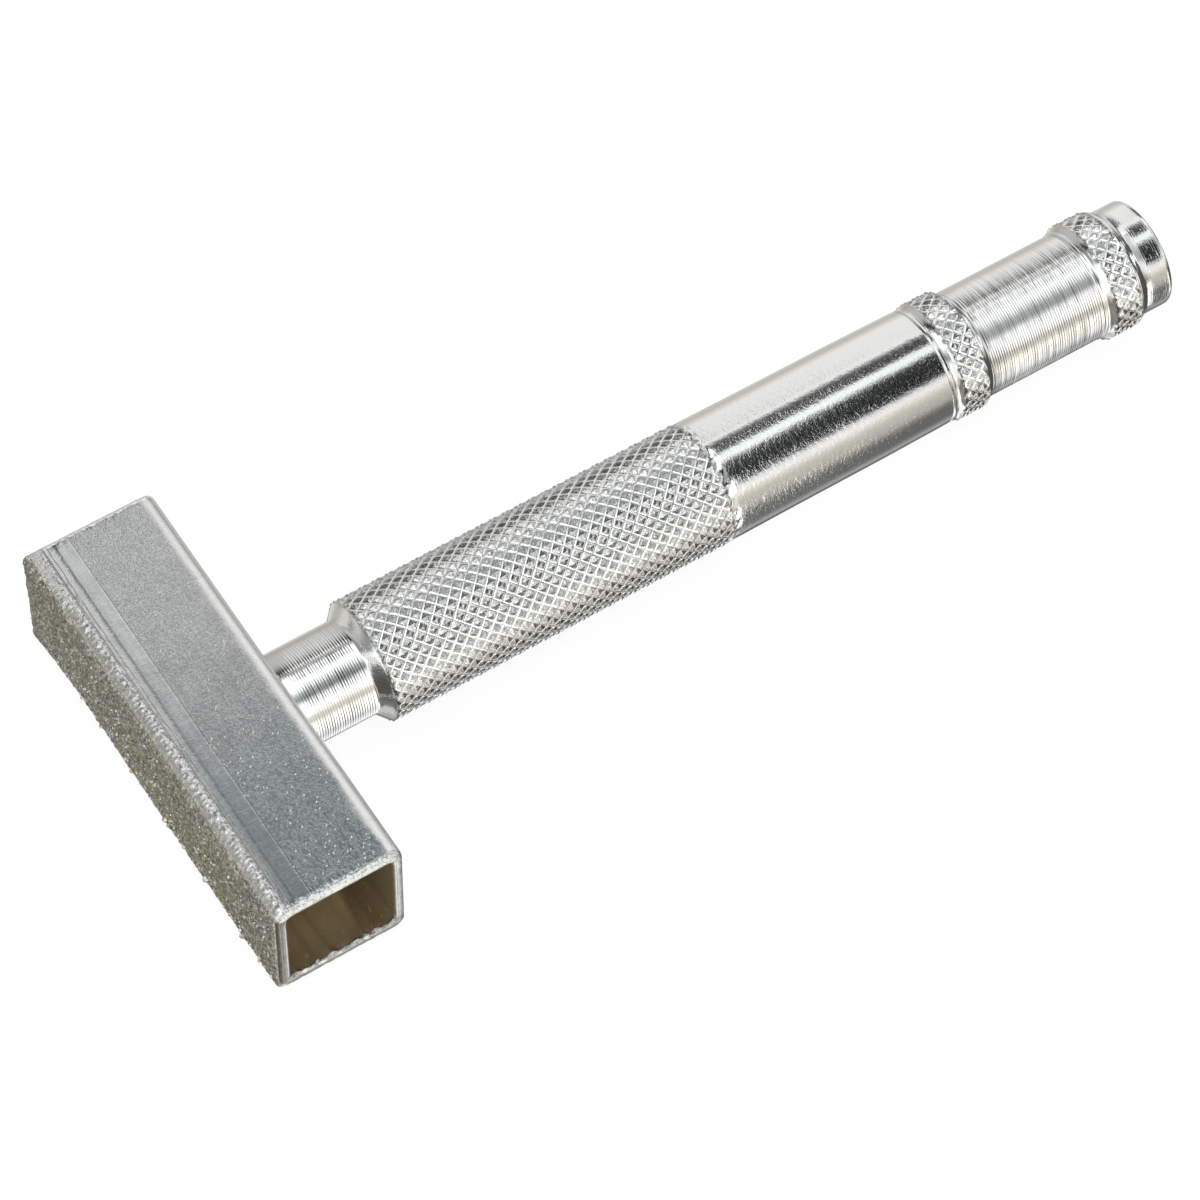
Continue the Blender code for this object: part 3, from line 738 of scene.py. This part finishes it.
def grit_section():
    """Points on the tube's surface round its front, with outward normals and the skin's thickness."""
    half_z = TUBE_HALF_HEIGHT
    front = FRONT_FACE_X / MM
    flat = GRIT_WRAP - OUTER_CORNER
    stations = []
    count = max(2, round(flat / GRIT_STEP))
    for step in range(count):
        x = front + GRIT_WRAP - flat * step / count
        stations.append((Vector((x, 0, half_z)), Vector((0, 0, 1)), 0.08 + 0.14 * step / count))
    count = round(OUTER_CORNER * math.pi / 2 / GRIT_STEP)
    for step in range(count):
        angle = math.radians(90 + 90 * step / count)
        normal = Vector((math.cos(angle), 0, math.sin(angle)))
        centre = Vector((front + OUTER_CORNER, 0, half_z - OUTER_CORNER))
        stations.append((centre + OUTER_CORNER * normal, normal,
                         0.22 + 0.2 * step / count + BEAD_FULLNESS * math.sin(math.pi * step / count)))
    count = round((half_z - OUTER_CORNER) / GRIT_STEP)
    for step in range(count + 1):
        z = (half_z - OUTER_CORNER) * (1 - step / count)
        stations.append((Vector((front, 0, z)), Vector((-1, 0, 0)), 0.42))
    lower = [(Vector((point.x, 0, -point.z)), Vector((normal.x, 0, -normal.z)), thickness)
             for point, normal, thickness in stations[-2::-1]]
    middle = Vector((0, 0, TUBE_MIDDLE_Z / MM))
    return [(point + middle, normal, thickness) for point, normal, thickness in stations + lower]


def grain_lift(place):
    """How far the grains stand up from the skin at a place, in millimetres."""
    distances, _ = noise.voronoi(place * 2.3)
    grain = max(0.0, 0.55 - distances[0]) * 0.30
    distances, _ = noise.voronoi(place * 4.6 + Vector((7, 3, 1)))
    fine = max(0.0, 0.5 - distances[0]) * 0.14
    return grain + fine + noise.noise(place * 0.7) * 0.06


def make_grit():
    stations = grit_section()
    length = (GRIT_HIGH.y - GRIT_LOW.y) / MM
    low_y = GRIT_LOW.y / MM
    rows = round(length / GRIT_STEP)
    bm = bmesh.new()
    limit_x = GRIT_LOW.x / MM
    limit_top = GRIT_HIGH.z / MM
    limit_bottom = GRIT_LOW.z / MM
    under = 0.02
    loops = []
    for row in range(rows + 1):
        y = low_y + length * row / rows
        near_end = min(1.0, 0.80 + min(row, rows - row) * 0.07)
        far = max(0.0, (y - 12) / 10.5) ** 2
        loop = []
        for index, (point, normal, thickness) in enumerate(stations):
            place = point.copy()
            place.y = y
            edge = min(1.0, (min(index, len(stations) - 1 - index) + 0.3) / 3)
            corner = 4 * abs(normal.x * normal.z) ** 0.5 * abs(normal.x * normal.z)
            lift = thickness * near_end * edge * 0.8
            lift += grain_lift(place) * near_end * min(1.0, thickness / 0.3) * (1 - 0.70 * min(1.0, corner))
            lift += 0.30 * far * edge * (min(1.0, thickness / 0.3) + corner * 0.8)
            place += normal * lift
            place.x = max(place.x, limit_x)
            place.z = min(max(place.z, limit_bottom), limit_top)
            loop.append(place)
        # The skin's back, just inside the tube's own surface
        for point, normal, _ in (stations[-1], stations[len(stations) // 2], stations[0]):
            back = point - normal * under
            if normal.x < -0.5:
                for level in (-1, 1):
                    loop.append(Vector((back.x, y, TUBE_MIDDLE_Z / MM + level * FLAT_REACH_Z)))
            else:
                back.y = y
                loop.append(back)
        loops.append(loop_of_edges(bm, loop))
    for first, second in zip(loops, loops[1:]):
        bmesh.ops.bridge_loops(bm, edges=first + second)
    for end in (loops[0], loops[-1]):
        bmesh.ops.contextual_create(bm, geom=end)
    bmesh.ops.scale(bm, verts=bm.verts, vec=(MM, MM, MM))
    bmesh.ops.recalc_face_normals(bm, faces=bm.faces)
    return add_piece("grit_skin", bm, grit_material(), "diamond_coating", 0)


# Diamonds that stand out of the bond, as y, z and radius in millimetres on the grit's face
PROUD_CRYSTALS = (
    (-16.4, 1.2, 0.36), (-16.0, 1.7, 0.22), (-9.8, 1.7, 0.38), (-9.2, 2.6, 0.26), (-5.8, 1.6, 0.27),
    (-2.4, 1.6, 0.34), (-2.9, 1.2, 0.24), (-19.4, 1.2, 0.24), (3.9, 1.2, 0.26), (9.6, 1.1, 0.24),
    (13.1, 1.3, 0.26), (17.6, 1.6, 0.28), (19.7, 2.4, 0.24), (-12.9, 3.1, 0.24))


def make_crystals():
    """Single diamonds: a few large ones along the lower edge, one on the top bead, many small ones."""
    chance = random.Random(5)
    front = FRONT_FACE_X / MM - 0.43
    places = [(Vector((front - 0.02, y, z)), radius) for y, z, radius in PROUD_CRYSTALS]
    places.append((Vector((-5.35, 15.9, GRIT_HIGH.z / MM - 0.2)), 0.36))
    for _ in range(420):
        y = chance.uniform(GRIT_LOW.y / MM + 0.5, GRIT_HIGH.y / MM - 0.5)
        z = 1.3 + 10.4 * chance.random() ** 1.5
        places.append((Vector((front + 0.03, y, z)), chance.uniform(0.07, 0.17)))
    bm = bmesh.new()
    for centre, radius in places:
        axis = Vector((chance.uniform(-1, 1), chance.uniform(-1, 1), chance.uniform(0.1, 1))).normalized()
        squash = Matrix.Diagonal((chance.uniform(0.75, 1), chance.uniform(0.75, 1), 1, 1))
        bmesh.ops.create_icosphere(bm, subdivisions=1, radius=radius, matrix=Matrix.Translation(centre)
                                   @ Matrix.Rotation(chance.uniform(0, math.pi), 4, axis) @ squash)
    for vert in bm.verts:
        vert.co.x = max(vert.co.x, GRIT_LOW.x / MM)
        vert.co.z = min(max(vert.co.z, GRIT_LOW.z / MM), GRIT_HIGH.z / MM)
    bmesh.ops.scale(bm, verts=bm.verts, vec=(MM, MM, MM))
    bmesh.ops.recalc_face_normals(bm, faces=bm.faces)
    return add_piece("crystals", bm, crystal_material(), "diamond_coating", 10)


# Studio lights: brightness by turn about the handle's axis, in degrees from the far side up over the top.
# The side is the angle towards the handle's end. Ahead is what a plain round bar shows the camera, aside is
# to both sides of that, and the far right and far left are what steep facets and walls show.
LIGHTS_AHEAD = (
    (-180, 0.60), (-166, 0.48), (-157, 0.38), (-149, 0.20), (-140, 0.14), (-118, 0.15), (-108, 0.24),
    (-98, 0.42), (-84, 0.18), (-60, 0.35), (-45, 0.72), (-34, 0.56), (-20, 0.56), (-8, 0.74),
    (2, 0.92), (54, 0.90), (58, 1.00), (60, 0.88), (62, 0.46), (66, 0.20), (71, 0.06),
    (84, 0.05), (89, 1.00), (99, 1.10), (104, 0.40), (109, 0.03), (140, 0.01), (147, 0.05),
    (153, 0.75), (162, 0.97), (170, 0.78), (180, 0.60))
LIGHTS_ASIDE = (
    (-180, 0.65), (-173, 1.00), (-166, 1.75), (-159, 1.98), (-150, 1.98), (-140, 1.65), (-128, 1.10),
    (-117, 0.98), (-107, 1.15), (-98, 1.30), (-86, 1.10), (-66, 0.60), (-50, 0.85), (-38, 0.60),
    (-20, 0.42), (-6, 0.50), (6, 0.54), (30, 0.52), (40, 0.38), (48, 0.14), (56, 0.03),
    (62, 0.10), (69, 0.85), (76, 1.50), (104, 1.50), (111, 1.15), (118, 0.55), (129, 0.30),
    (135, 0.80), (141, 1.60), (168, 1.60), (174, 0.85))
LIGHTS_FAR_RIGHT = (
    (-180, 0.10), (-105, 0.08), (-60, 0.10), (-40, 0.35), (-22, 0.74), (-6, 0.80), (5, 0.62),
    (12, 0.25), (20, 0.14), (40, 0.14), (48, 0.30), (62, 0.36), (72, 0.75), (95, 0.78),
    (106, 0.60), (118, 0.45), (130, 0.55), (145, 0.95), (160, 0.85), (175, 0.35))
LIGHTS_FAR_LEFT = (
    (-180, 0.35), (-172, 0.24), (-151, 0.21), (-140, 0.17), (-127, 0.10), (-112, 0.09), (-60, 0.30),
    (-20, 0.35), (-4, 0.48), (12, 0.61), (24, 0.60), (35, 0.44), (48, 0.32), (70, 0.29),
    (84, 0.36), (92, 0.60), (104, 1.20), (118, 1.40), (150, 1.40), (166, 1.20), (175, 0.80),
    (180, 0.35))
BRIGHTEST = 2.0

# Where the lights change, in degrees
AHEAD_SIDES = (16.3, 29)
OVER_TUBE_TURNS = (56, 71)
OVER_TUBE_REACH = 9.3
FAR_RIGHT_SIDES = (28, 34)
BEHIND_GRIP_SIDES = (66, 74)
FAR_LEFT_SIDES = (-35, -45)

# Small lights that the waist and the tube's pale rear edge show: turns, softness, sides, brightness
SMALL_LIGHTS = ((-134, -106, 6, 26, 32, 0.5), (46, 69, 2, 28, 74, 0.70))

# Dark gaps between the walls, in degrees: turns from and to, softness, sides over which it fades in, depth
GAPS = (
    (-176, -104, 5, -8, -18, 1.0), (-177, -131, 5, -2, -10, 1.0), (50, 85, 5, -14, -20, 0.25),
    (-93, -50, 4, -4, -10, 0.75), (-108, -72, 5, 9, 3, 0.6), (-84, -52, 5, 25, 17, 0.8),
    (139, 187, 7, -12, -20, 0.45), (88, 112, 4, -12, -20, 0.22))
GAP_DARKNESS = 0.85


def light_rig(graph, turn, lights):
    """Brightness by turn, from a list of lights."""
    stops = [((angle + 180) / 360, (level / BRIGHTEST,) * 3) for angle, level in lights]
    ramp = graph.node("ShaderNodeValToRGB", {"stops": stops}, {0: (turn + 180) / 360})
    return ramp.out(0) * BRIGHTEST


def studio_world():
    """A studio seen only in reflections and as soft light: pale walls, a strip overhead, dark gaps."""
    world = bpy.data.worlds.new("studio")
    world.use_nodes = True
    bpy.context.scene.world = world
    graph = Graph(world.node_tree)
    direction = graph.node("ShaderNodeTexCoord").out("Generated")
    parts = graph.node("ShaderNodeSeparateXYZ", None, {0: direction})
    x, y, z = (parts.out(axis) for axis in range(3))
    turn = z.math("ARCTAN2", y) * (180 / math.pi)
    side = x.math("ARCSINE") * (180 / math.pi)
    over_tube = turn.between(*OVER_TUBE_TURNS, 1.5)
    ahead = side.between(AHEAD_SIDES[0] - over_tube * OVER_TUBE_REACH, AHEAD_SIDES[1], 2.2)
    level = light_rig(graph, turn, LIGHTS_AHEAD) * ahead
    level = level + light_rig(graph, turn, LIGHTS_ASIDE) * (1 - ahead)
    far_right = side + turn.between(-104, -75, 5.0) * 3 - turn.between(-179, -112, 4.0) * 5
    far_right = far_right.above(*FAR_RIGHT_SIDES)
    level = level * (1 - far_right) + light_rig(graph, turn, LIGHTS_FAR_RIGHT) * far_right
    behind_grip = side.above(*BEHIND_GRIP_SIDES)
    level = level * (1 - behind_grip) + (turn.between(108, 166, 4.0) * 1.6 + 0.10) * behind_grip
    glints = turn.between(-134, -106, 5.0) * side.above(6, 0) * 0.25
    level = level * (1 + glints)
    for low, high, soft, near, far, brightness in SMALL_LIGHTS:
        level = level + turn.between(low, high, soft) * side.between(near, far, 1.5) * brightness
    gaps = reduce(Socket.largest, (
        turn.between(low, high, soft) * side.above(clear, dark) * depth
        for low, high, soft, clear, dark, depth in GAPS))
    level = level * (1 - gaps * GAP_DARKNESS)
    far_left = side.above(*FAR_LEFT_SIDES)
    level = level * (1 - far_left) + light_rig(graph, turn, LIGHTS_FAR_LEFT) * far_left
    rays = graph.node("ShaderNodeLightPath")
    warm = turn.between(-60, 5, 12.0) * 0.5 + turn.above(-138, -152) + turn.above(156, 176)
    tint = graph.blend(turn.between(72, 146, 6.0), (1.0, 0.995, 0.985), (0.95, 1.0, 1.0))
    tint = graph.blend(warm, tint, (1.0, 0.975, 0.87))
    rig = graph.node("ShaderNodeBackground", None, {"Color": tint, "Strength": level})
    plain = graph.node("ShaderNodeBackground", None, {"Color": (1, 1, 1, 1), "Strength": 1.0})
    mixed = graph.node("ShaderNodeMixShader", None, {
        0: rays.out("Is Camera Ray"), 1: rig.out(0), 2: plain.out(0)})
    graph.node("ShaderNodeOutputWorld", None, {"Surface": mixed.out(0)})


def make_floor():
    """White floor that keeps a faint soft shadow; polished metal sees the studio's own floor instead."""
    bm = bmesh.new()
    bmesh.ops.create_grid(bm, x_segments=1, y_segments=1, size=4.0)
    bmesh.ops.translate(bm, verts=bm.verts, vec=(0, 0, FLOOR_Z))
    mesh = bpy.data.meshes.new("floor")
    bm.to_mesh(mesh)
    bm.free()
    material, graph = new_material("floor_white")
    rays = graph.node("ShaderNodeLightPath")
    seen = rays.out("Is Camera Ray")
    paint = graph.blend(seen, (0.80, 0.80, 0.80), (0.17, 0.17, 0.17))
    matt = graph.node("ShaderNodeBsdfDiffuse", None, {"Color": paint}).out(0)
    glow = graph.node("ShaderNodeEmission", None, {"Color": (1, 1, 1, 1), "Strength": seen * 0.90}).out(0)
    both = graph.node("ShaderNodeAddShader", None, {0: matt, 1: glow}).out(0)
    clear = graph.node("ShaderNodeBsdfTransparent").out(0)
    mixed = graph.node("ShaderNodeMixShader", None, {0: rays.out("Is Glossy Ray"), 1: both, 2: clear})
    graph.node("ShaderNodeOutputMaterial", None, {"Surface": mixed.out(0)})
    mesh.materials.append(material)
    floor = bpy.data.objects.new("floor", mesh)
    bpy.context.scene.collection.objects.link(floor)


# Camera: angles in degrees, places in pixels of the 1200-pixel photograph, distance in millimetres
CAMERA_AZIMUTH = -33.597
CAMERA_ELEVATION = 58.161
CAMERA_ROLL = 1.421
CAMERA_DISTANCE = 484.376
CAMERA_FOCUS_PX = 5275.157
PHOTO_SIZE_PX = 1200
TARGET_PX = (278.109, 704.649)
SENSOR_MM = 36.0


def make_camera():
    """Camera at the photograph's own viewing angle, aimed so the tube's rear middle falls on its pixel."""
    angles = (CAMERA_AZIMUTH, CAMERA_ELEVATION, CAMERA_ROLL)
    azimuth, elevation, roll = (math.radians(angle) for angle in angles)
    look = Vector((-math.sin(azimuth) * math.cos(elevation), math.cos(azimuth) * math.cos(elevation),
                   -math.sin(elevation)))
    level = Vector((math.cos(azimuth), math.sin(azimuth), 0))
    rise = level.cross(look)
    right = math.cos(roll) * level + math.sin(roll) * rise
    up = math.cos(roll) * rise - math.sin(roll) * level
    centre = PHOTO_SIZE_PX / 2
    offset_x = (TARGET_PX[0] - centre) / CAMERA_FOCUS_PX * CAMERA_DISTANCE
    offset_y = -(TARGET_PX[1] - centre) / CAMERA_FOCUS_PX * CAMERA_DISTANCE
    target = Vector((REAR_FACE_X, 0, TUBE_MIDDLE_Z))
    place = target - (right * offset_x + up * offset_y + look * CAMERA_DISTANCE) * MM
    data = bpy.data.cameras.new("camera")
    data.sensor_width = SENSOR_MM
    data.lens = CAMERA_FOCUS_PX * SENSOR_MM / PHOTO_SIZE_PX
    data.clip_start = 0.01
    camera = bpy.data.objects.new("camera", data)
    bpy.context.scene.collection.objects.link(camera)
    camera.matrix_world = Matrix((
        (right.x, up.x, -look.x, place.x),
        (right.y, up.y, -look.y, place.y),
        (right.z, up.z, -look.z, place.z),
        (0, 0, 0, 1)))
    bpy.context.scene.camera = camera


make_handle()
make_tube()
make_grit()
make_crystals()
studio_world()
make_floor()
make_camera()
bpy.context.scene.view_settings.view_transform = "Standard"
